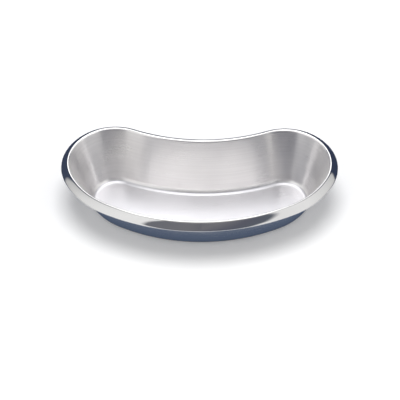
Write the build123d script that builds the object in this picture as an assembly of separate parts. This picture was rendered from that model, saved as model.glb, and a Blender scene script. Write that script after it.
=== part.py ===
from build123d import *
import os
from math import atan2, cos, degrees, radians, sin, sqrt, tan

# Kidney dish, pressed from one sheet of stainless steel. Millimetres, +Z up.
# X runs along the dish, the hollow side faces +Y, and the outer long side faces -Y.
# The origin lies under the middle of the dish, on the surface that it stands on.
#
# The outline is a closed chain of six tangent arcs, the same on both sides of X = 0:
# front, right corner, right lobe, notch, left lobe, left corner. An outline further in
# keeps the arcs' centres and directions, so only the radii change.

# ---- driving dimensions ----
length = 254.0  # over the rolled rim
height = 50.8  # from the table to the top of the rim
sheet = 0.8  # thickness of the steel

lobe_radius = 48.7  # round ends, at the outermost line of the rim
corner_radius = 78.8  # flatter arc between each lobe and the front
corner_start = -25.0  # direction where the lobe passes into the corner, in degrees from X
front_radius = 187.0  # long outward curve
notch_radius = 161.6  # long inward curve that fits against a body

wall_lean = 18.4  # degrees from upright, outwards
base_scale = 0.973  # the floor is this much shorter and narrower than an even lean leaves
base_shift = -0.6  # the floor stands this far along Y from the rim
floor_fillet = 6.5  # inside radius between floor and wall

# the rolled rim: a tight crown on top, a flatter apron sloping outwards, a lip turned under
crown_radius = 2.0  # outside radii
apron_radius = 14.0
lip_radius = 2.55
crown_reach = 3.3  # the crown's centre is this far inside the lip's
crown_rise = 4.29  # and this far above it
lip_end = 315.0  # direction where the lip stops, in degrees from straight inwards over the top

# ---- derived ----
crown_inset = lip_radius + crown_reach  # from the outermost line to the crown's centre
crown_centre = height - crown_radius
lip_centre = crown_centre - crown_rise
seam = lip_centre - lip_radius  # height where bowl and rim meet, level with the lip's underside
slope = tan(radians(wall_lean))
sheet_across = sheet / cos(radians(wall_lean))  # thickness of the leaning sheet, level
lobe_centre = length / 2 - lobe_radius


def wall_inset(radius, z):
    """Inset from the outermost line, at height z, of the straight wall face
    that runs on tangent to the crown's circle of this radius."""
    touch = crown_inset + radius * cos(radians(wall_lean))
    touch_z = crown_centre + radius * sin(radians(wall_lean))
    return touch + (touch_z - z) * slope


def rim_arcs():
    """Centre (inset, height), radius, first and last direction of the rim's arcs: crown, apron
    and lip. The apron's circle touches the other two from outside, so its centre is the
    difference of the radii away from both of theirs."""
    apart = sqrt(crown_reach**2 + crown_rise**2)
    to_crown, to_lip = apron_radius - crown_radius, apron_radius - lip_radius
    along = (to_crown**2 - to_lip**2 + apart**2) / (2 * apart)
    aside = sqrt(to_crown**2 - along**2)
    inset = crown_inset - along * crown_reach / apart + aside * crown_rise / apart
    z = crown_centre - along * crown_rise / apart - aside * crown_reach / apart
    crown_end = degrees(atan2(crown_centre - z, crown_inset - inset))
    apron_end = degrees(atan2(lip_centre - z, lip_radius - inset))
    return [
        ((crown_inset, crown_centre), crown_radius, wall_lean, crown_end),
        ((inset, z), apron_radius, crown_end, apron_end),
        ((lip_radius, lip_centre), lip_radius, apron_end, lip_end),
    ]


def outline_arcs():
    """Centre, radius, first direction and last direction of each arc of the outermost
    line, anticlockwise, with the lobes' centres on Y = 0. The notch turns the other way."""
    step = lobe_radius - corner_radius
    corner_x = lobe_centre + step * cos(radians(corner_start))
    corner_y = step * sin(radians(corner_start))
    front_y = corner_y + sqrt((front_radius - corner_radius) ** 2 - corner_x**2)
    notch_y = sqrt((notch_radius + lobe_radius) ** 2 - lobe_centre**2)
    front_end = degrees(atan2(corner_y - front_y, corner_x))
    lobe_end = degrees(atan2(notch_y, -lobe_centre))
    return [
        ((0, front_y), front_radius, -180 - front_end, front_end),
        ((corner_x, corner_y), corner_radius, front_end, corner_start),
        ((lobe_centre, 0), lobe_radius, corner_start, lobe_end),
        ((0, notch_y), -notch_radius, lobe_end, 180 - lobe_end),
        ((-lobe_centre, 0), lobe_radius, 180 - lobe_end, 180 - corner_start),
        ((-corner_x, corner_y), corner_radius, -180 - corner_start, -180 - front_end),
    ]


arcs = outline_arcs()
(front_centre, _, _, _) = arcs[0]
width = lobe_radius + front_radius - front_centre[1]
middle = (lobe_radius + front_centre[1] - front_radius) / 2  # of the width, from the lobes


def placed(centre, scale=1.0, shift=0.0):
    """An arc's centre in the dish's own frame, for an outline scaled about the lobes."""
    return centre[0] * scale, centre[1] * scale + shift - middle


def outline(inset, z, scale=1.0, shift=0.0):
    """Closed wire at height z: the outermost line scaled, shifted and moved inwards."""
    edges = []
    for centre, radius, first, last in arcs:
        x, y = placed(centre, scale, shift)
        # the notch's centre is outside, so its radius is negative and grows in size inwards
        size = radius * scale - inset
        start = first if size > 0 else first + 180
        edges.append(Edge.make_circle(
            abs(size),
            Plane((x, y, z)),
            start_angle=start if size > 0 else start + last - first,
            end_angle=start + last - first if size > 0 else start,
        ))
    return Wire(edges)


def tub(bottom_inset, bottom, top_inset, radius):
    """Solid between a floor outline and the outline at the seam, with a rounded foot."""
    body = Solid.make_loft(
        [outline(bottom_inset, bottom, base_scale, base_shift), outline(top_inset, seam)],
        ruled=True,
    )
    foot = body.faces().sort_by(Axis.Z)[0]
    return body.fillet(radius, foot.edges())


def make_bowl():
    """Floor and leaning wall, one sheet thick, up to the seam below the rim."""
    outside = tub(
        wall_inset(crown_radius - sheet, 0), 0,
        wall_inset(crown_radius - sheet, seam), floor_fillet + sheet,
    )
    inside = tub(
        wall_inset(crown_radius, sheet), sheet,
        wall_inset(crown_radius, seam), floor_fillet,
    )
    return outside - inside


def rim_section(centre, radius, direction):
    """Section of the rolled rim, in the upright plane through an arc's centre."""
    def at(inset, z):
        return abs(radius - inset), z

    def on_arc(arc, depth, angle):
        (inset, z), size, _, _ = arc
        turn = radians(angle)
        return at(inset + (size - depth) * cos(turn), z + (size - depth) * sin(turn))

    def follow(depth):
        """The rim's arcs, this deep below the outside face."""
        for arc in rim_arcs():
            _, _, first, last = arc
            ThreePointArc(*(on_arc(arc, depth, angle)
                            for angle in (first, (first + last) / 2, last)))

    crown, _, lip = rim_arcs()
    inner, outer = wall_inset(crown_radius, seam), wall_inset(crown_radius - sheet, seam)
    with BuildSketch() as sketch:
        with BuildLine():
            Line(at(outer, seam), at(inner, seam))
            Line(at(inner, seam), on_arc(crown, 0, wall_lean))
            follow(0)
            Line(on_arc(lip, 0, lip_end), on_arc(lip, sheet, lip_end))
            follow(sheet)
            Line(on_arc(crown, sheet, wall_lean), at(outer, seam))
        make_face()
    out = (cos(radians(direction)), sin(radians(direction)), 0)
    x, y = placed(centre)
    plane = Plane((x, y, 0), x_dir=out, z_dir=(out[1], -out[0], 0))
    return plane * sketch.sketch


def make_rim():
    """Rolled rim: its section turned about the centre of each arc of the outline."""
    rim = None
    for centre, radius, first, last in arcs:
        # the notch is turned about a centre on its far side, from its other end
        direction = first if radius > 0 else first + 180
        x, y = placed(centre)
        piece = revolve(
            rim_section(centre, radius, direction),
            Axis((x, y, 0), (0, 0, 1)) if radius > 0 else Axis((x, y, 0), (0, 0, -1)),
            abs(last - first),
        )
        rim = piece if rim is None else rim + piece
    return rim


os.makedirs("parts", exist_ok=True)
export_step(make_bowl(), "parts/bowl.step")
export_step(make_rim(), "parts/rolled_rim.step")
print(f"length {length:.1f} width {width:.1f} height {height:.1f}")
print(f"rim centre to lobes {middle:.2f}, base half length "
      f"{base_scale * length / 2 - wall_inset(crown_radius - sheet, 0):.1f}")
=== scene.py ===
# %% [markdown]
# # Kidney dish
# A kidney dish is one sheet of stainless steel: pressed over a former, trimmed, and its edge rolled
# outwards. There is nothing to assemble. What makes it look real is the steel: a satin bowl that
# glows softly, a polished roll that mirrors the room, and the plain room that it mirrors.
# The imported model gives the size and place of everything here.

import math

import bpy
import numpy as np
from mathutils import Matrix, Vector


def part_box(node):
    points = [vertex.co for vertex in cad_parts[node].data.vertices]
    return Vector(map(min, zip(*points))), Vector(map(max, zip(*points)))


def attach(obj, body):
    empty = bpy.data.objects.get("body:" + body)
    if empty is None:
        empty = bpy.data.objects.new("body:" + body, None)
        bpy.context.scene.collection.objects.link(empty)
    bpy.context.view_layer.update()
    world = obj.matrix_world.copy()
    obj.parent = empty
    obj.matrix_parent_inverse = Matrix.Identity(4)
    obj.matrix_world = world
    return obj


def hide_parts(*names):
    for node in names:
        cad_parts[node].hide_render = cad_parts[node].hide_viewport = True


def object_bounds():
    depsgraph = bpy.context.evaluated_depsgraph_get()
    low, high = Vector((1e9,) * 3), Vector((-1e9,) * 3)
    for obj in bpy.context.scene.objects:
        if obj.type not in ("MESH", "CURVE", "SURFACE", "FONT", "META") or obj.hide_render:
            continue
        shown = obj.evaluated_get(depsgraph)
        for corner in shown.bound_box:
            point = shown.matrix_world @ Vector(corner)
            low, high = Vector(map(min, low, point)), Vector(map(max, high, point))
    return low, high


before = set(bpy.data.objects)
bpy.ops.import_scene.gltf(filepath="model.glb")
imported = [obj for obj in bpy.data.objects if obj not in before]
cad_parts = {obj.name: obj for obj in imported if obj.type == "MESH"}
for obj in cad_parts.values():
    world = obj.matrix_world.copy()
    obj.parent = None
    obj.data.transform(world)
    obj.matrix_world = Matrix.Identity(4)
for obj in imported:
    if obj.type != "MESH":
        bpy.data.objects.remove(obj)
cad_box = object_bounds()
low, high = (np.array(corner) for corner in cad_box)
size = high - low
print("CAD size in mm:", np.round(size * 1000, 1))

# %% [markdown]
# ## The outline
# Seen from above, the dish is a closed chain of tangent arcs: a long front, a flatter corner at each
# side, two round lobes and the notch. A spline through picked points would wobble in a mirror
# finish. Arcs don't, and every outline further in keeps the same arc centres and directions.
# So the outermost line and its directions are worked out once, and all the rest hangs on them.

# %% Arcs of the outermost line
lobe_radius = 0.0487
corner_radius = 0.0788
corner_start = math.radians(-25)
front_radius = 0.187
notch_radius = 0.1616
stations = 720

lobe_centre = size[0] / 2 - lobe_radius
step = lobe_radius - corner_radius
corner_centre = (lobe_centre + step * math.cos(corner_start), step * math.sin(corner_start))
front_centre = corner_centre[1] + math.sqrt(
    (front_radius - corner_radius) ** 2 - corner_centre[0] ** 2)
notch_centre = math.sqrt((notch_radius + lobe_radius) ** 2 - lobe_centre ** 2)
front_end = math.atan2(corner_centre[1] - front_centre, corner_centre[0])
lobe_end = math.atan2(notch_centre, -lobe_centre)
middle = (lobe_radius + front_centre - front_radius) / 2

# centre, radius, first and last direction of each arc, from the front's middle to the tip and
# from the tip to the notch's middle; the notch bends the other way, so its radius is negative
front_quarter = [
    ((0, front_centre), front_radius, -math.pi / 2, front_end),
    (corner_centre, corner_radius, front_end, corner_start),
    ((lobe_centre, 0), lobe_radius, corner_start, 0),
]
back_quarter = [
    ((lobe_centre, 0), lobe_radius, 0, lobe_end),
    ((0, notch_centre), -notch_radius, lobe_end, math.pi / 2),
]


def walk(arcs, count):
    """count points at even steps along the arcs: point = centre + radius * outward direction.
    Returns the points and the outward directions."""
    lengths = np.array([abs(radius * (last - first)) for _, radius, first, last in arcs])
    ends = np.cumsum(lengths)
    along = (np.arange(count) + 0.5) / count * ends[-1]
    which = np.searchsorted(ends, along)
    centre = np.array([arc[0] for arc in arcs])[which]
    radius, first, last = (np.array([arc[i] for arc in arcs])[which] for i in (1, 2, 3))
    share = (along - (ends - lengths)[which]) / lengths[which]
    angle = first + share * (last - first)
    outward = np.stack([np.cos(angle), np.sin(angle)], 1)
    return centre + radius[:, None] * outward, outward


quarters = [walk(arcs, stations // 4) for arcs in (front_quarter, back_quarter)]
right_line, right_outward = (np.concatenate(parts) for parts in zip(*quarters))
mirrored = np.array([-1.0, 1.0])
rim_line = np.concatenate([right_line, right_line[::-1] * mirrored])
outward = np.concatenate([right_outward, right_outward[::-1] * mirrored])
forward = np.stack([-outward[:, 1], outward[:, 0]], 1)
print("width in mm:", round(np.ptp(rim_line[:, 1]) * 1000, 2), "CAD:", round(size[1] * 1000, 2))

# %% [markdown]
# ## The section of the sheet
# Cut the dish anywhere square to its outline and the same sheet shows: flat floor, rounded foot,
# leaning wall, rolled rim. The rim is three arcs that touch: a tight crown on top, a flatter apron
# that slopes outwards, and a lip turned under. The apron is what shows one even tone of the room.
# Only the wall's lean changes a little from place to place, because the floor is a bit shorter than
# an even lean would leave it. So the lean is worked out at each station, as the tangent from the
# foot to the crown's circle, and wall and rim join without a crease.
# The outer face is the inner face moved by the sheet's thickness along the same normal, which keeps
# the sheet even all the way.

# %% Sheet, rim and foot
sheet = 0.0008
rim_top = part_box("rolled_rim")[1].z
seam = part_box("bowl")[1].z  # where bowl and rim meet
crown_radius, apron_radius, lip_radius = 0.0020, 0.0140, 0.00255  # outside
crown_reach, crown_rise = 0.0033, 0.00429  # from the lip's centre inwards and up to the crown's
lip_end = math.radians(315)
foot_radius = 0.0065  # inside
floor_share = 0.973  # of the rim's length and width
floor_shift = -0.0006  # along Y
even_lean = math.radians(18.4)

# centres as (inset, height); the apron's is the difference of the radii away from both others
crown_centre = np.array([lip_radius + crown_reach, rim_top - crown_radius])
lip_centre = crown_centre - [crown_reach, crown_rise]
apart = math.hypot(crown_reach, crown_rise)
to_crown, to_lip = apron_radius - crown_radius, apron_radius - lip_radius
along = (to_crown ** 2 - to_lip ** 2 + apart ** 2) / (2 * apart)
aside = math.sqrt(to_crown ** 2 - along ** 2)
apron_centre = crown_centre + (
    along * np.array([-crown_reach, -crown_rise]) + aside * np.array([crown_rise, -crown_reach])
) / apart
crown_end, apron_end = (
    math.atan2(*(centre - apron_centre)[::-1]) for centre in (crown_centre, lip_centre))
print("apron runs from", round(math.degrees(crown_end), 1), "to",
      round(math.degrees(apron_end), 1), "degrees")

inner_crown = crown_radius - sheet
floor_inset = crown_centre[0] + inner_crown * math.cos(even_lean) + (
    crown_centre[1] + inner_crown * math.sin(even_lean)) * math.tan(even_lean)

# the corner where an unrounded wall would meet the table, seen from the rim's outermost line:
# how far inwards, and how far along
to_corner = (1 - floor_share) * rim_line - np.array([0, floor_shift])
corner_inset = (to_corner * outward).sum(1) + floor_inset
drift = -(to_corner * forward).sum(1)

# tangent from that corner to the circle of the crown's hollow face
across = corner_inset - crown_centre[0]
corner_distance = np.hypot(across, crown_centre[1])
lean = np.arctan2(-crown_centre[1], across) + np.arccos(inner_crown / corner_distance)
print("wall leans", np.round(np.degrees([lean.min(), lean.max()]), 1), "degrees")


def in_space(inset, z, drift_share=0.0):
    """Grid of points: outermost line - inset * outward + drift share * drift * forward, at height
    z, moved so that the width is centred on the origin. Rows run down the sheet's section."""
    inset, z, drift_share = np.broadcast_arrays(inset, z, drift_share, subok=False)
    flat = rim_line - inset[..., None] * outward + (drift_share * drift)[..., None] * forward
    return np.concatenate([flat - [0, middle], z[..., None]], -1)


def normal_in_space(inward, up):
    """Grid of normals from their inward and upward parts."""
    inward, up = np.broadcast_arrays(inward, up)
    return np.concatenate([-inward[..., None] * outward, up[..., None]], -1)


def steps(first, last, count):
    """Even steps from first to last, ends included, as a column against the stations."""
    share = np.linspace(0, 1, count)[:, None]
    return (1 - share) * first + share * last


# %% [markdown]
# ## From grids to meshes
# A surface here is a grid: one way runs along the sheet's section, the other round the outline,
# where it closes on itself. Each grid carries its true normals, so that a mirror finish shows the
# curve that was meant and not the facets of the mesh.

# %% Quads and the grain map
def strip(rows, columns, closed_section):
    """Quads between neighbours of a grid that closes round its columns, and round its rows too if
    the section is closed. Corner order: along the section first, so that faces point outwards."""
    row, column = np.meshgrid(
        np.arange(rows if closed_section else rows - 1), np.arange(columns), indexing="ij")
    below, beside = (row + 1) % rows, (column + 1) % columns
    corners = [(row, column), (below, column), (below, beside), (row, beside)]
    return np.stack([r * columns + c for r, c in corners], -1).reshape(-1, 4)


rows_per_unit = 100


def write_grain_map(mesh, used):
    """UV map of a mesh whose points are grid points number used: U = share of the way round the
    outline, which is the way of the brushing, and V = row / rows_per_unit. A face over the joint
    of the outline runs on past the last station, so that U never jumps back inside a face."""
    corner_of = np.empty(len(mesh.loops), np.int32)
    mesh.loops.foreach_get("vertex_index", corner_of)
    row, column = np.divmod(used[corner_of], stations)
    start, count = np.empty((2, len(mesh.polygons)), np.int32)
    mesh.polygons.foreach_get("loop_start", start)
    mesh.polygons.foreach_get("loop_total", count)
    spread = np.maximum.reduceat(column, start) - np.minimum.reduceat(column, start)
    over_joint = np.repeat(spread > stations // 2, count) & (column < stations // 2)
    where = np.stack([(column + stations * over_joint) / stations, row / rows_per_unit], 1)
    grain = mesh.uv_layers.new(name="grain")
    grain.data.foreach_set("uv", where.astype(np.float32).ravel())


# %% [markdown]
# Every piece goes through one function. The true normals are set last, because every other change
# to the mesh would drop them. It also counts the faces that look against their normals, which
# should be none. At the two ends of the floor's middle line a few quads are squeezed to no width.
# They have no side of their own, so they don't count.

# %% Mesh from a grid that closes round the outline
no_width = 1e-12  # square metres, far below the smallest face that can be seen


def make_piece(name, points, normals, faces, materials, face_material=0, **values):
    """Mesh object from grids of points and unit normals, quads and materials. Points that no face
    uses are left out, and a quad with two corners in one point becomes a triangle. Each further
    value is a number for every point, which materials read by its name."""
    chosen = np.broadcast_to(face_material, len(faces))
    used, faces = np.unique(faces, return_inverse=True)
    faces = faces.reshape(-1, 4)
    points, normals = points.reshape(-1, 3)[used], normals.reshape(-1, 3)[used]
    diagonals = points[faces[:, 2]] - points[faces[:, 0]], points[faces[:, 3]] - points[faces[:, 1]]
    against = (np.cross(*diagonals) * normals[faces].sum(1)).sum(1) < -no_width

    # two corners in one point: turned until they are the first and the last, then one is dropped
    faces = np.where((faces[:, 1] == faces[:, 2])[:, None], faces[:, [2, 3, 0, 1]], faces)
    folded = faces[:, 3] == faces[:, 0]
    mesh = bpy.data.meshes.new(name)
    mesh.from_pydata(points.tolist(), [], faces[~folded].tolist() + faces[folded, :3].tolist())
    for material in materials:
        mesh.materials.append(material)
    order = np.concatenate([chosen[~folded], chosen[folded]]).astype(np.int32)
    mesh.polygons.foreach_set("material_index", order)
    mesh.polygons.foreach_set("use_smooth", np.ones(len(faces), bool))
    write_grain_map(mesh, used)
    for label, numbers in values.items():
        layer = mesh.attributes.new(label, "FLOAT", "POINT")
        layer.data.foreach_set("value", numbers.reshape(-1)[used].astype(np.float32))
    mesh.update()
    mesh.normals_split_custom_set_from_vertices(normals.tolist())
    piece = bpy.data.objects.new(name, mesh)
    bpy.context.scene.collection.objects.link(piece)
    print(f"{name}: {len(points)} points, {len(faces)} faces, {against.sum()} face inwards")
    return piece


# %% [markdown]
# ## Steel
# Stainless steel is one metal with several finishes, and the finish is only roughness: how far the
# surface scatters what it mirrors. The drawn outside and the polished roll start from the same grey,
# near the real reflectance of steel. The brushed inside starts from a lighter grey, painted light
# that brightens the bowl, and its floor takes in a darker, colder grey, painted shade. Each finish
# differs in roughness, in grain and in the fine marks on it.

# %% Node helpers
steel_grey = (0.80, 0.795, 0.79, 1)


class Nodes:
    """Short way to add nodes to a material and link them."""

    def __init__(self, name):
        self.material = bpy.data.materials.new(name)
        self.material.use_nodes = True
        self.tree = self.material.node_tree
        self.shader = self.tree.nodes["Principled BSDF"]

    def add(self, kind, inputs=None, **settings):
        node = self.tree.nodes.new(kind)
        for name, value in settings.items():
            setattr(node, name, value)
        for name, value in (inputs or {}).items():
            if isinstance(value, bpy.types.NodeSocket):
                self.tree.links.new(value, node.inputs[name])
            else:
                node.inputs[name].default_value = value
        return node

    def place(self, scale):
        """Object coordinates, stretched by scale along each axis."""
        where = self.add("ShaderNodeTexCoord").outputs["Object"]
        return self.add("ShaderNodeMapping", {"Vector": where, "Scale": scale}).outputs["Vector"]

    def noise(self, scale, detail=4.0):
        """Noise from 0 to 1 with the given number of features per metre along each axis."""
        return self.add("ShaderNodeTexNoise", {
            "Vector": self.place(scale), "Scale": 1.0, "Detail": detail, "Roughness": 0.6,
        }).outputs["Fac"]

    def ranged(self, value, low, high, from_low=0.3, from_high=0.7):
        """The value carried from its own range to low..high."""
        return self.add("ShaderNodeMapRange", {
            "Value": value, "From Min": from_low, "From Max": from_high,
            "To Min": low, "To Max": high,
        }).outputs["Result"]

    def along_grain(self):
        """Direction of the brushing, which is the first way of the grain map."""
        return self.add(
            "ShaderNodeTangent", direction_type="UV_MAP", uv_map="grain").outputs["Tangent"]

    def mixed(self, share, first, second):
        """Colour that goes from the first to the second as share goes from 0 to 1."""
        return self.add("ShaderNodeMix", {
            "Factor": share, 6: first, 7: second}, data_type="RGBA").outputs[2]

    def ramp(self, share, stops):
        """Colour that follows share from 0 to 1, through stops of (share, colour)."""
        node = self.add("ShaderNodeValToRGB", {"Fac": share})
        elements = node.color_ramp.elements
        elements[0].position, elements[-1].position = 0.0, 1.0
        elements[0].color, elements[-1].color = stops[0][1], stops[-1][1]
        for place, colour in stops[1:-1]:
            elements.new(place).color = colour
        return node.outputs["Color"]

    def bump(self, height, depth, under=None):
        """Bump of that depth in metres over the height, on top of another bump if given."""
        inputs = {"Height": height, "Distance": depth, "Strength": 1.0}
        if under is not None:
            inputs["Normal"] = under
        return self.add("ShaderNodeBump", inputs).outputs["Normal"]

    def finish(self, **sockets):
        for name, value in sockets.items():
            socket = self.shader.inputs[name.replace("_", " ")]
            if isinstance(value, bpy.types.NodeSocket):
                self.tree.links.new(value, socket)
            else:
                socket.default_value = value
        return self.material


# %% [markdown]
# ## Satin inside
# The inside is brushed along the outline, so the wall carries fine level lines and smears what it
# mirrors up and down. Noise stretched hard along X and Y and squeezed along Z gives such lines on
# any upright wall. The floor is brushed lengthwise with the same idea, turned flat.
# The smear is the shader's anisotropy. Its direction comes from the grain map, which runs on over
# the seam between rim and wall, so no step shows there.

# %% Brushed steel
# painted light: both greys are lighter than steel_grey, which brightens the brushed inside
painted_light_satin_low, painted_light_satin_high = (0.86, 0.845, 0.84, 1), (0.92, 0.905, 0.90, 1)
line_depth, stroke_depth = 0.000004, 0.000003  # in metres
rough_lines, rough_clouds = 0.04, 0.03  # how far each shifts the roughness, up and down
cloud_scale = (26, 26, 26)


def brushed(nodes, fine, strokes, roughness):
    """Colour, roughness and bump of brushed steel from fine lines, and wider strokes over them.
    Roughness = the given one, shifted by the lines and by soft clouds."""
    fine_lines, wide_strokes = nodes.noise(fine), nodes.noise(strokes, 3.0)
    clouds = nodes.noise(cloud_scale, 2.0)
    colour = nodes.mixed(nodes.ranged(wide_strokes, 0.0, 1.0), painted_light_satin_low, painted_light_satin_high)
    rough = nodes.add("ShaderNodeMath", {
        0: nodes.ranged(fine_lines, -rough_lines, rough_lines),
        1: nodes.ranged(clouds, roughness - rough_clouds, roughness + rough_clouds),
    }, operation="ADD").outputs[0]
    fine_bump = nodes.bump(fine_lines, line_depth)
    return colour, rough, nodes.bump(wide_strokes, stroke_depth, fine_bump)


# %% [markdown]
# The wall takes the smear, and the floor doesn't: the floor's grid turns round at its middle line,
# and a smear would draw that line. A flat grey, darker and colder than the wall's colour, is mixed
# into the floor: painted shade that darkens the floor, which faces the light above.

# %% Satin wall and floor
satin_roughness = 0.31
satin_smear = 0.9
quarter_turn = 0.25  # brushed steel smears what it mirrors square to the grain
wall_lines, wall_strokes = (18, 18, 5200), (9, 9, 900)  # per metre, along X, Y and Z
floor_lines, floor_strokes = (22, 3600, 22), (12, 700, 12)
# painted shade: a darker, colder grey mixed into the floor's colour by floor_tint
floor_tint, floor_painted_shade = 0.8, (0.705, 0.70, 0.735, 1)


def satin_wall():
    nodes = Nodes("satin_wall_steel")
    colour, rough, bumped = brushed(nodes, wall_lines, wall_strokes, satin_roughness)
    return nodes.finish(
        Base_Color=colour, Metallic=1.0, Roughness=rough, Normal=bumped,
        Anisotropic=satin_smear, Anisotropic_Rotation=quarter_turn, Tangent=nodes.along_grain())


def satin_floor():
    nodes = Nodes("satin_floor_steel")
    colour, rough, bumped = brushed(nodes, floor_lines, floor_strokes, satin_roughness)
    return nodes.finish(
        Base_Color=nodes.mixed(floor_tint, colour, floor_painted_shade), Metallic=1.0,
        Roughness=rough, Normal=bumped)


# %% [markdown]
# ## Drawn outside and polished roll
# Outside, the press leaves the sheet smooth with faint level marks. The roll is polished, which
# is what lets a hand slide along it, and only wide soft waves and hair marks disturb its mirror.
# The polish stops just inside the crown, where the brushed inside takes over. The rim's mesh
# carries that as a value for each point, 0 for brushed and 1 for polished, and the material
# blends the two finishes by it.

# %% Outside and roll
drawn_lines, drawn_clouds = (10, 10, 2600), (30, 30, 60)  # per metre, along X, Y and Z
drawn_depth = 0.000002
roll_waves, roll_marks = (45, 45, 45), (160, 160, 4200)
wave_depth = 0.00004
drawn_roughness, roll_roughness = (0.17, 0.25), (0.05, 0.10)  # lowest and highest
drawn_shift = 0.03  # how far the drawn lines shift the roughness, up and down


def drawn_outside():
    nodes = Nodes("drawn_outside_steel")
    lines, clouds = nodes.noise(drawn_lines), nodes.noise(drawn_clouds, 2.0)
    rough = nodes.add("ShaderNodeMath", {
        0: nodes.ranged(lines, -drawn_shift, drawn_shift),
        1: nodes.ranged(clouds, *drawn_roughness)}, operation="ADD").outputs[0]
    return nodes.finish(
        Base_Color=steel_grey, Metallic=1.0, Roughness=rough,
        Normal=nodes.bump(lines, drawn_depth))


def polished_roll():
    nodes = Nodes("polished_roll_steel")
    polish = nodes.add("ShaderNodeAttribute", attribute_name="polish").outputs["Fac"]
    colour, rough, bumped = brushed(nodes, wall_lines, wall_strokes, satin_roughness)
    waves, marks = nodes.noise(roll_waves, 1.0), nodes.noise(roll_marks)
    shine = nodes.ranged(marks, *roll_roughness)
    return nodes.finish(
        Base_Color=nodes.mixed(polish, colour, steel_grey), Metallic=1.0,
        Anisotropic=satin_smear, Anisotropic_Rotation=quarter_turn, Tangent=nodes.along_grain(),
        Roughness=nodes.add("ShaderNodeMix", {
            "Factor": polish, 2: rough, 3: shine}, data_type="FLOAT").outputs[0],
        Normal=nodes.add("ShaderNodeMix", {
            "Factor": polish, 4: bumped, 5: nodes.bump(waves, wave_depth)},
            data_type="VECTOR").outputs[1])


wall_finish, floor_finish = satin_wall(), satin_floor()
outside_finish, roll_finish = drawn_outside(), polished_roll()
print("finishes:", *(each.name for each in (
    wall_finish, floor_finish, outside_finish, roll_finish)))

# %% [markdown]
# ## Roll
# Rolling turns the edge outwards and under, which hides the sharp cut edge and stiffens the dish.
# The rim stays hollow. Its section is an open ring of sheet: out over crown, apron and lip, round
# the cut edge, and back along the same arcs one sheet deeper. The surface's own direction says
# which of the three arcs a point belongs to, so one formula covers them all.

# %% Roll
wall_top = crown_centre[1] + inner_crown * np.sin(lean)  # of the outer face, where the rim starts
wall_top_inset = crown_centre[0] + inner_crown * np.cos(lean)


def wall(z, offset):
    """Wall point at outer height z, moved by offset along its normal, and that normal."""
    drop = (wall_top - z) / np.cos(lean)
    inset = wall_top_inset + drop * np.sin(lean) + offset * np.cos(lean)
    points = in_space(inset, z + offset * np.sin(lean), 1 - z / wall_top)
    return points, normal_in_space(np.cos(lean) + 0 * z, np.sin(lean) + 0 * z)


def on_rim(angle, depth):
    """Inset and height on the rim where its surface faces angle, measured from straight inwards
    over the top: the centre of the arc + (radius - depth) * direction."""
    which = (angle > crown_end).astype(int) + (angle > apron_end)
    centre = np.stack([crown_centre, apron_centre, lip_centre])[which]
    reach = np.array([crown_radius, apron_radius, lip_radius])[which] - depth
    return centre[..., 0] + reach * np.cos(angle), centre[..., 1] + reach * np.sin(angle)


def roll(angle, depth):
    """Points of the rim this deep below its outside face, and their normals."""
    return in_space(*on_rim(angle, depth)), normal_in_space(np.cos(angle), np.sin(angle))


def cut_edge(turn):
    """Rounded edge of the sheet at the lip's end: half a circle from outer face to inner."""
    inset, z = on_rim(np.full_like(turn, lip_end), sheet / 2)
    ahead = turn + lip_end
    points = in_space(inset + sheet / 2 * np.cos(ahead), z + sheet / 2 * np.sin(ahead))
    return points, normal_in_space(np.cos(ahead), np.sin(ahead))


def stack(*bands):
    """Joins bands of (points, normals) rows."""
    return tuple(np.concatenate(parts) for parts in zip(*bands))


def back(band):
    """A band seen from its other side, from its last row to its first."""
    return band[0][::-1], -band[1][::-1]


stations_row = np.ones(stations)
lead_rows, edge_rows = 4, 7
crown_rows, apron_rows, lip_rows = 26, 8, 28
lead = steps(seam * stations_row, wall_top, lead_rows)
turns = np.concatenate([
    steps(lean, crown_end * stations_row, crown_rows)[:-1],
    steps(crown_end * stations_row, apron_end * stations_row, apron_rows)[:-1],
    steps(apron_end * stations_row, lip_end * stations_row, lip_rows)])
polish_from, polish_to = math.radians(60), math.radians(76)  # of the rim's turn
rim_points, rim_normals = stack(
    wall(lead[:-1], sheet),
    roll(turns, 0.0),
    cut_edge(steps(0 * stations_row, math.pi * stations_row, edge_rows)[1:-1]),
    back(roll(turns, sheet)),
    back(wall(lead[:-1], 0.0)),
)
polish = np.ones(rim_points.shape[:2])
polish[:lead_rows - 1] = 0
polish[lead_rows - 1:lead_rows - 1 + len(turns)] = np.clip(
    (turns - polish_from) / (polish_to - polish_from), 0, 1)
rim = make_piece(
    "rolled_rim_roll", rim_points, rim_normals,
    strip(len(rim_points), stations, True), [roll_finish], polish=polish)

# %% [markdown]
# ## Bowl
# Wall, rounded foot and flat floor run on into each other in one sweep. The floor's grid closes on
# a line down its middle: each station at the front meets its partner at the back there, and the
# two are the same point, so the floor has no hole and no pole.

# %% Bowl
outer_foot = foot_radius + sheet
foot_centre_inset = wall_top_inset + (
    outer_foot - (outer_foot - wall_top) * np.sin(lean)) / np.cos(lean)
foot_top = outer_foot * (1 - np.sin(lean))


def foot(angle, offset):
    """Foot point where its normal leans by angle from level, moved by offset along it."""
    reach = outer_foot - offset
    inset = foot_centre_inset - reach * np.cos(angle)
    outer_z = outer_foot - outer_foot * np.sin(angle)
    points = in_space(inset, outer_foot - reach * np.sin(angle), 1 - outer_z / wall_top)
    return points, normal_in_space(np.cos(angle), np.sin(angle))


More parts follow.
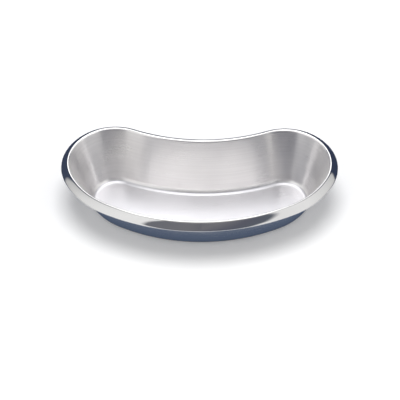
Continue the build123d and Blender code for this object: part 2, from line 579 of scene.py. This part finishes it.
def floor(share, offset):
    """Floor point, the share of the way from the foot to the middle line."""
    edge = in_space(foot_centre_inset, offset + 0 * foot_centre_inset, 1.0)
    partner = edge[(stations // 2 - 1 - np.arange(stations)) % stations]
    points = edge + share[:, :, None] * (edge + partner)[None] / 2 - share[:, :, None] * edge[None]
    normals = np.zeros_like(points)
    normals[..., 2] = 1
    return points, normals


wall_rows, foot_rows, floor_rows = 14, 16, 12
side = steps(seam * stations_row, foot_top, wall_rows)
bend = steps(lean, math.pi / 2 * stations_row, foot_rows)
inwards = steps(0 * stations_row, stations_row, floor_rows)


def face_of_bowl(offset):
    """One face of the bowl, from the seam to the middle of the floor."""
    return stack(wall(side, offset), foot(bend[1:], offset), floor(inwards[1:], offset))


inner_points, inner_normals = face_of_bowl(sheet)
outer_points, outer_normals = face_of_bowl(0.0)
bowl_points = np.concatenate([inner_points[::-1], outer_points])
bowl_normals = np.concatenate([inner_normals[::-1], -outer_normals])
rows = len(bowl_points)
faces = strip(rows, stations, False)
face_row = faces[:, 0] // stations
inner_rows = len(inner_points)
floor_from = floor_rows - 1 + foot_rows // 2
face_finish = np.where(face_row < inner_rows - 1, 0, 2)
face_finish[face_row < floor_from] = 1

# the middle line's two rows: a station and its partner are one point
same = np.arange(rows * stations)
for row in (0, rows - 1):
    station = np.arange(stations)
    partner = (stations // 2 - 1 - station) % stations
    same[row * stations + station] = row * stations + np.minimum(station, partner)
faces = same[faces]
bowl = make_piece(
    "bowl_sheet", bowl_points, bowl_normals, faces,
    [wall_finish, floor_finish, outside_finish], face_finish)

# %% [markdown]
# ## Riding on the frame
# The dish doesn't move, so both pieces ride on its one body. They stand for the two CAD nodes,
# which stay as the frame for collision and aren't shown.

# %% Ride and replace
for piece, node in ((rim, "rolled_rim"), (bowl, "bowl")):
    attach(piece, "root")
    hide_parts(node)

# %% [markdown]
# ## The room
# Polished steel has no look of its own: it shows the room. This is a product table in a dark blue
# room, with tall soft panels at both sides, a dim gap in front where the camera stands and darkness
# behind. Real panels would work, but a world that is worked out from the direction gives the same
# mirror images with less noise. One ramp goes round the room at the height of the panels, and a
# second, softer one goes round above them.

# %% Light round the room
def grey(value):
    return (value, value, value, 1)


navy = (0.04, 0.052, 0.095, 1)
low_room = [  # direction in degrees, 0 in front and positive to the right, and its light
    (-180, navy), (-109, (0.055, 0.07, 0.115, 1)), (-103, grey(0.58)),
    (-75, grey(0.85)), (-40, grey(0.97)), (-29, grey(0.95)), (-27, (0.17, 0.175, 0.20, 1)),
    (-7, (0.19, 0.19, 0.21, 1)), (10, (0.12, 0.125, 0.16, 1)), (26, (0.115, 0.13, 0.16, 1)),
    (31, grey(0.9)), (60, grey(0.93)), (90, grey(0.78)), (111, grey(0.62)),
    (116, navy), (180, navy),
]
high_room = [  # the same above the panels
    (-180, navy), (-125, (0.08, 0.09, 0.12, 1)), (-100, grey(0.40)), (-75, grey(0.60)),
    (-60, grey(0.55)), (-45, grey(0.50)), (-30, grey(0.48)), (0, grey(0.45)), (28, grey(0.5)),
    (45, grey(0.85)), (60, grey(1.0)), (90, grey(0.90)), (115, grey(0.55)), (140, navy),
    (180, navy),
]
panel_top = 58, 66  # degrees above the horizon
panel_lean = 0.33  # degrees round for each degree up, on the right
ground_light = (0.085, 0.12, 0.19, 1)
ground_from = 62, 74  # degrees below the horizon


# %% [markdown]
# The world gets the same short way to add nodes as the materials have, and a few sums on top.
# Height and direction are angles: height = arcsine of Z, direction = angle of (X, -Y).

# %% World
class Room(Nodes):
    """The nodes of a world."""

    def __init__(self, name):
        self.world = bpy.data.worlds.new(name)
        self.world.use_nodes = True
        self.tree = self.world.node_tree
        self.tree.nodes.clear()

    def calculate(self, operation, *values):
        return self.add("ShaderNodeMath", dict(enumerate(values)), operation=operation).outputs[0]

    def soft_step(self, value, low, high):
        """0 below low and 1 above high, with a smooth rise between them."""
        return self.add("ShaderNodeMapRange", {
            "Value": value, "From Min": low, "From Max": high, "To Min": 0.0, "To Max": 1.0,
        }, interpolation_type="SMOOTHSTEP").outputs["Result"]

    def ring(self, share_round, lights):
        """Colour round the room from a list of (degrees, light)."""
        return self.ramp(share_round, [(angle / 360 + 0.5, light) for angle, light in lights])


def make_room():
    room = Room("studio_room")
    direction = room.add("ShaderNodeTexCoord").outputs["Generated"]
    x, y, z = room.add("ShaderNodeSeparateXYZ", {"Vector": direction}).outputs
    height_angle = room.calculate("DEGREES", room.calculate("ARCSINE", z))
    round_angle = room.calculate("DEGREES", room.calculate(
        "ARCTAN2", x, room.calculate("MULTIPLY", y, -1.0)))
    # panels on the right lean: their edges move round as they rise
    rising = room.calculate("MAXIMUM", height_angle, 0.0)
    on_right = room.calculate("GREATER_THAN", round_angle, 0.0)
    moved = room.calculate("MULTIPLY", room.calculate("MULTIPLY", rising, panel_lean), on_right)
    share_round = room.calculate("ADD", room.calculate(
        "DIVIDE", room.calculate("SUBTRACT", round_angle, moved), 360.0), 0.5)

    walls = room.mixed(
        room.soft_step(height_angle, *panel_top),
        room.ring(share_round, low_room), room.ring(share_round, high_room))
    down = room.calculate("MULTIPLY", height_angle, -1.0)
    light = room.mixed(room.soft_step(down, *ground_from), walls, ground_light)
    background = room.add("ShaderNodeBackground", {"Color": light, "Strength": 1.0})
    room.add("ShaderNodeOutputWorld", {"Surface": background.outputs["Background"]})
    return room.world


bpy.context.scene.world = make_room()
bpy.context.scene.view_settings.view_transform = "Standard"
print("room:", len(bpy.context.scene.world.node_tree.nodes), "nodes")


# %% [markdown]
# ## Stage
# Everything on the stage lights the dish or carries its shadow, and isn't part of it. What only
# the steel should see is hidden from the camera, from scattered light and from shadows.

# %% Helpers for the stage
def glow(name, colour, strength=1.0):
    """Material that only gives light."""
    return Nodes(name).finish(
        Base_Color=grey(0.0), Emission_Color=colour, Emission_Strength=strength,
        Specular_IOR_Level=0.0)


def flat_mesh(name, points, faces, material):
    mesh = bpy.data.meshes.new(name)
    mesh.from_pydata(points, [], faces)
    mesh.materials.append(material)
    thing = bpy.data.objects.new(name, mesh)
    bpy.context.scene.collection.objects.link(thing)
    print(f"{name}: {len(faces)} faces")
    return thing


def only_for_steel(thing):
    thing.visible_camera = thing.visible_diffuse = thing.visible_shadow = False
    thing.visible_transmission = False


# %% [markdown]
# ## Table
# The dish stands on a plain white table that runs on past the edge of every view. The steel
# doesn't mirror this table. From below it mirrors the dim ground of the room and a card of its
# own, so the table can be nearly white while the outside of the dish stays dark.

# %% Table
table_half = 20.0
table_finish = Nodes("plain_table").finish(
    Base_Color=grey(0.8), Roughness=0.9, Emission_Color=grey(1.0), Emission_Strength=0.18)
table = flat_mesh(
    "table", [(x * table_half, y * table_half, 0) for x, y in ((-1, -1), (1, -1), (1, 1), (-1, 1))],
    [(0, 1, 2, 3)], table_finish)
table.visible_glossy = False

# %% [markdown]
# ## Top panel
# A soft panel hangs close over the dish, level from just in front of the middle to the back, and
# then straight down. The world could hold it too, but a world is endlessly far away, and would
# light the rim's crown the same all the way round. This one is near, so the front of the crown
# mirrors it in white and the two ends look past it into the dark.

# %% Top panel
light_left, light_right = -0.135, 0.107
light_section = [(-0.043, 0.35), (0.35, 0.35), (0.35, 0.20)]  # (Y, Z) of its bends
light_strength = 1.9
light_points = [(x, y, z) for y, z in light_section for x in (light_left, light_right)]
top_panel = flat_mesh(
    "top_panel", light_points, [(0, 2, 3, 1), (2, 4, 5, 3)],
    glow("top_panel_glow", grey(1.0), light_strength))
only_for_steel(top_panel)

# %% [markdown]
# ## Table as the steel sees it
# The outer wall mirrors the table beside it: first the dark line where the dish stands, then the
# dish's own shadow, and the lip mirrors the bright table further out. Those three bands tell the eye
# that the steel touches the table. They are painted: a glowing card just below the table's top
# carries a painted shadow near the foot and painted light further out, set by the distance
# outwards from the foot, in place of the table, which the steel doesn't mirror.

# %% Card below the dish
# painted reflection: painted shadow close to the foot, painted light of the bright table further out
painted_table_bands = [  # distance outwards from the foot's centre line in metres, and the light there
    (-0.012, (0.010, 0.011, 0.016, 1)), (0.0045, (0.012, 0.014, 0.02, 1)),
    (0.0065, (0.08, 0.105, 0.16, 1)), (0.011, (0.10, 0.13, 0.20, 1)),
    (0.019, (0.13, 0.16, 0.22, 1)), (0.0225, (1.25, 1.27, 1.33, 1)),
    (0.036, (1.1, 1.12, 1.15, 1)), (0.042, (0.25, 0.26, 0.29, 1)),
]
card_rows, card_depth = 28, 0.0001
near, far = painted_table_bands[0][0], painted_table_bands[-1][0]
away = steps(near * stations_row, far * stations_row, card_rows)
card_points = in_space(foot_centre_inset - away, np.full_like(away, -card_depth), 1.0)
card_light = Nodes("painted_shadow_card")
share_away = card_light.ranged(
    card_light.add("ShaderNodeAttribute", attribute_name="away").outputs["Fac"],
    0.0, 1.0, near, far)
card_colour = card_light.ramp(share_away, [
    ((distance - near) / (far - near), light) for distance, light in painted_table_bands])
card = make_piece(
    "painted_shadow_card", card_points, np.zeros_like(card_points) + [0, 0, 1],
    strip(card_rows, stations, False),
    [card_light.finish(Base_Color=grey(0.0), Emission_Color=card_colour,
                       Emission_Strength=1.0, Specular_IOR_Level=0.0)], away=away)
only_for_steel(card)

# %% [markdown]
# ## Lamp
# A soft light straight above gives the shadow, which is the rim's outline with a wide soft edge.
# The steel doesn't show it: its highlights come from the panels.

# %% Lamp
lamp_data = bpy.data.lights.new("top_light", "SUN")
lamp_data.energy = 2.2
lamp_data.angle = math.radians(34)
lamp = bpy.data.objects.new("top_light", lamp_data)
lamp.visible_glossy = False
bpy.context.scene.collection.objects.link(lamp)

# %% [markdown]
# ## Camera
# A long lens from well back keeps the two lobes the same size, as on a product page. The camera
# looks down on the dish from the front, hardly turned, and is tipped a little about its own axis.

# %% Camera
view_turn, view_height, view_tip = (math.radians(a) for a in (2.91, 47.49, -1.50))
view_distance = 4.058
image_side, lens_in_dots = 400, 4388  # focal length, in dots of an image of this width
aim_right, aim_up = -0.000275, 0.00007
far_clip = 100

back_way = np.array([
    math.sin(view_turn) * math.cos(view_height), -math.cos(view_turn) * math.cos(view_height),
    math.sin(view_height)])
level = np.cross(-back_way, [0, 0, 1.0])
level = level / np.linalg.norm(level)
upward = np.cross(level, -back_way)
right = math.cos(view_tip) * level + math.sin(view_tip) * upward
up = math.cos(view_tip) * upward - math.sin(view_tip) * level
aim = np.array([0, -middle, 0]) + aim_right * right + aim_up * up

camera_data = bpy.data.cameras.new("camera")
camera_data.lens = lens_in_dots * camera_data.sensor_width / image_side
camera_data.clip_end = far_clip
camera = bpy.data.objects.new("camera", camera_data)
bpy.context.scene.collection.objects.link(camera)
pose = np.eye(4)
pose[:3, :3] = np.stack([right, up, back_way], 1)
pose[:3, 3] = aim + view_distance * back_way
camera.matrix_world = pose.T
bpy.context.scene.camera = camera
print("camera at", np.round(pose[:3, 3], 3))
